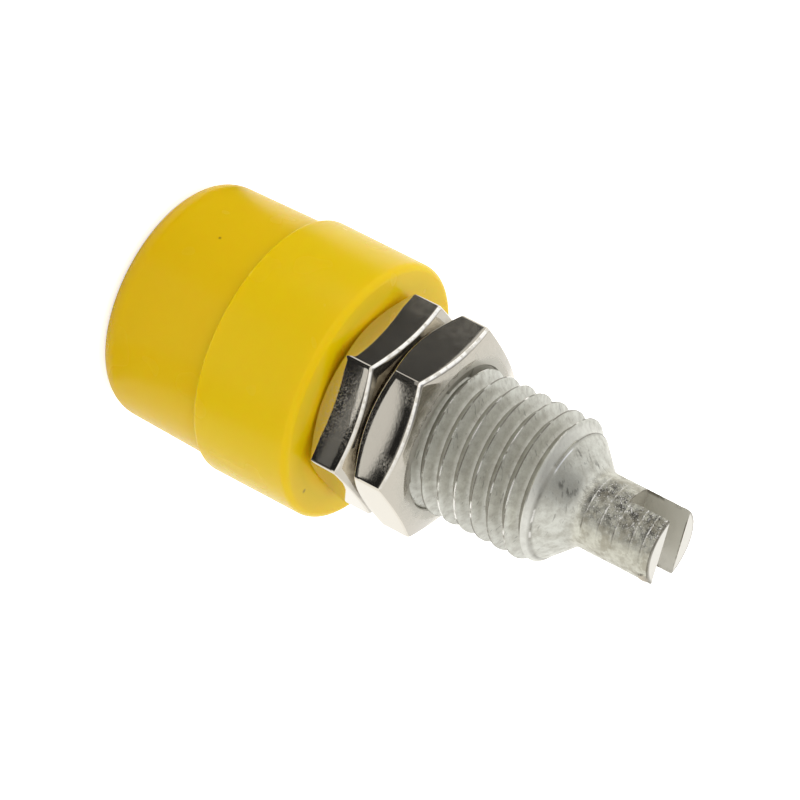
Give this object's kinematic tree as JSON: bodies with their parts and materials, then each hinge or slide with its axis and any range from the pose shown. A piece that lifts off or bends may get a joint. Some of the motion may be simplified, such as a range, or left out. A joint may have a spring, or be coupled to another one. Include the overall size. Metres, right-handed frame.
{
  "type": "banana socket",
  "caption": "Panel-mount 4 mm banana socket with yellow insulating head and bush, threaded body, hexagon nuts and slotted solder pin.",
  "frame": {"origin": "centre of the head's front face, where the plug goes in", "axes": "+Z along the socket's axis, from the front face to the solder pin; +X along the saw cut in the pin"},
  "size_m": [0.0106, 0.0106, 0.0234],
  "materials": {
    "tinned_brass": "dull tin plate over turned brass",
    "yellow_head": "moulded polyamide, satin gloss",
    "yellow_bush": "moulded polyamide, satin gloss",
    "bright_nickel": "bright nickel plate"
  },
  "bodies": {
    "root": {"socket_body": "tinned_brass", "insulating_head": "yellow_head"},
    "bush": {"insulating_bush": "yellow_bush"},
    "mounting_nut": {"mounting_nut": "bright_nickel"},
    "terminal_nut": {"terminal_nut": "bright_nickel"}
  },
  "joints": [
    {"name": "bush_slide", "type": "slide", "parent": "root", "child": "bush", "axis": [0, 0, 1], "range_m": [0, 0.003]},
    {"name": "mounting_nut_screw", "type": "hinge", "parent": "bush", "child": "mounting_nut", "pos_m": [0, 0, 0], "axis": [0, 0, 1], "range_deg": [0, 1440]},
    {"name": "terminal_nut_travel", "type": "slide", "parent": "mounting_nut", "child": "terminal_nut", "axis": [0, 0, 1], "range_m": [0, 0.0015]}
  ],
  "couplings": [
    {"joint": "mounting_nut_screw", "follows": "bush_slide", "rad_per_m": 8377.6}
  ]
}
